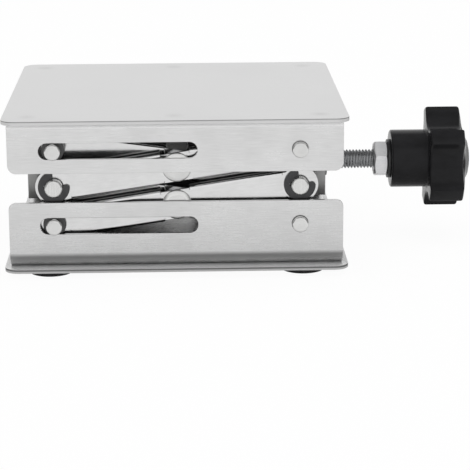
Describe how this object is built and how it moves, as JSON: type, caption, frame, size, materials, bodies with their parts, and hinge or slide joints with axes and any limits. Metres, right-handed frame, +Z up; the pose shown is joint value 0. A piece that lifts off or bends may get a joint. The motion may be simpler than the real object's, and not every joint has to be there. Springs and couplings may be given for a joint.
{
  "type": "scissor lab jack",
  "caption": "Scissor lab jack: a square steel platform on a double X linkage, raised and lowered by a star knob on a lead screw; rubber feet underneath.",
  "frame": {"origin": "centre of the base plate's underside, 2 mm above the surface that the feet stand on", "axes": "+Z up, normal to the platform; +X along the lead screw, out of the knob; -Y is the front"},
  "size_m": [0.1412, 0.1, 0.0467],
  "materials": {
    "stainless_plate": "satin",
    "stainless_channel": "brushed along the length",
    "stainless_link": "satin, pressed",
    "turned_steel": "turned, bright",
    "zinc_plated": "bright zinc",
    "black_oxide": "oiled black oxide",
    "black_phenolic": "semi gloss",
    "rubber": "matt"
  },
  "bodies": {
    "base": {"base_plate": "stainless_plate", "lower_channel": "stainless_channel", "front_left_foot": "rubber", "front_right_foot": "rubber", "rear_left_foot": "rubber", "rear_right_foot": "rubber"},
    "lower_inner_link": {"lower_inner_front_arm": "stainless_link", "lower_inner_rear_arm": "stainless_link", "lower_fixed_rod": "turned_steel", "lower_front_rivet": "turned_steel", "lower_rear_rivet": "turned_steel", "lower_rivet_spacers": "turned_steel"},
    "lower_outer_link": {"lower_outer_front_arm": "stainless_link", "lower_outer_rear_arm": "stainless_link", "lower_slide_rod": "turned_steel"},
    "left_bar": {"left_cross_bar": "turned_steel", "left_bar_spacers": "turned_steel", "left_front_clip": "black_oxide", "left_rear_clip": "black_oxide"},
    "right_bar": {"right_cross_bar": "turned_steel", "right_bar_spacers": "turned_steel", "right_front_clip": "black_oxide", "right_rear_clip": "black_oxide"},
    "upper_outer_link": {"upper_outer_front_arm": "stainless_link", "upper_outer_rear_arm": "stainless_link", "upper_fixed_rod": "turned_steel", "upper_front_rivet": "turned_steel", "upper_rear_rivet": "turned_steel", "upper_rivet_spacers": "turned_steel"},
    "upper_inner_link": {"upper_inner_front_arm": "stainless_link", "upper_inner_rear_arm": "stainless_link", "upper_slide_rod": "turned_steel"},
    "platform": {"upper_channel": "stainless_channel", "top_plate": "stainless_plate"},
    "knob_and_screw": {"lead_screw": "zinc_plated", "inner_thrust_collar": "turned_steel", "outer_thrust_collar": "turned_steel", "collar_pins": "turned_steel", "lock_nut": "zinc_plated", "threaded_insert": "black_oxide", "hand_knob": "black_phenolic", "knob_cap": "black_phenolic"}
  },
  "joints": [
    {"name": "lift", "type": "hinge", "parent": "base", "child": "lower_inner_link", "pos_m": [0.0358, 0, 0.0136], "axis": [0, 1, 0], "range_deg": [-0.1, 53]},
    {"name": "lower_cross_pivot", "type": "hinge", "parent": "lower_inner_link", "child": "lower_outer_link", "pos_m": [0.00027, 0, 0.0191], "axis": [0, 1, 0], "range_deg": [-106, 0.2]},
    {"name": "left_bar_pivot", "type": "hinge", "parent": "lower_inner_link", "child": "left_bar", "pos_m": [-0.03525, 0, 0.0246], "axis": [0, 1, 0], "range_deg": [-53, 0.1]},
    {"name": "right_bar_pivot", "type": "hinge", "parent": "lower_outer_link", "child": "right_bar", "pos_m": [0.0358, 0, 0.0246], "axis": [0, 1, 0], "range_deg": [-0.1, 53]},
    {"name": "upper_outer_pivot", "type": "hinge", "parent": "left_bar", "child": "upper_outer_link", "pos_m": [-0.03525, 0, 0.0246], "axis": [0, 1, 0], "range_deg": [-53, 0.1]},
    {"name": "upper_inner_pivot", "type": "hinge", "parent": "right_bar", "child": "upper_inner_link", "pos_m": [0.0358, 0, 0.0246], "axis": [0, 1, 0], "range_deg": [-0.1, 53]},
    {"name": "platform_pivot", "type": "hinge", "parent": "upper_outer_link", "child": "platform", "pos_m": [0.0358, 0, 0.0356], "axis": [0, 1, 0], "range_deg": [-0.1, 53]},
    {"name": "knob_turn", "type": "hinge", "parent": "right_bar", "child": "knob_and_screw", "pos_m": [0.0358, 0, 0.0222], "axis": [1, 0, 0], "range_deg": [-13360, 26]}
  ],
  "couplings": [
    {"joint": "lower_cross_pivot", "follows": "lift", "ratio": -2},
    {"joint": "left_bar_pivot", "follows": "lift", "ratio": -1},
    {"joint": "right_bar_pivot", "follows": "lift", "ratio": 1},
    {"joint": "upper_outer_pivot", "follows": "lift", "ratio": -1},
    {"joint": "upper_inner_pivot", "follows": "lift", "ratio": 1},
    {"joint": "platform_pivot", "follows": "lift", "ratio": 1},
    {"joint": "knob_turn", "follows": "lift", "ratio": -251.8}
  ]
}
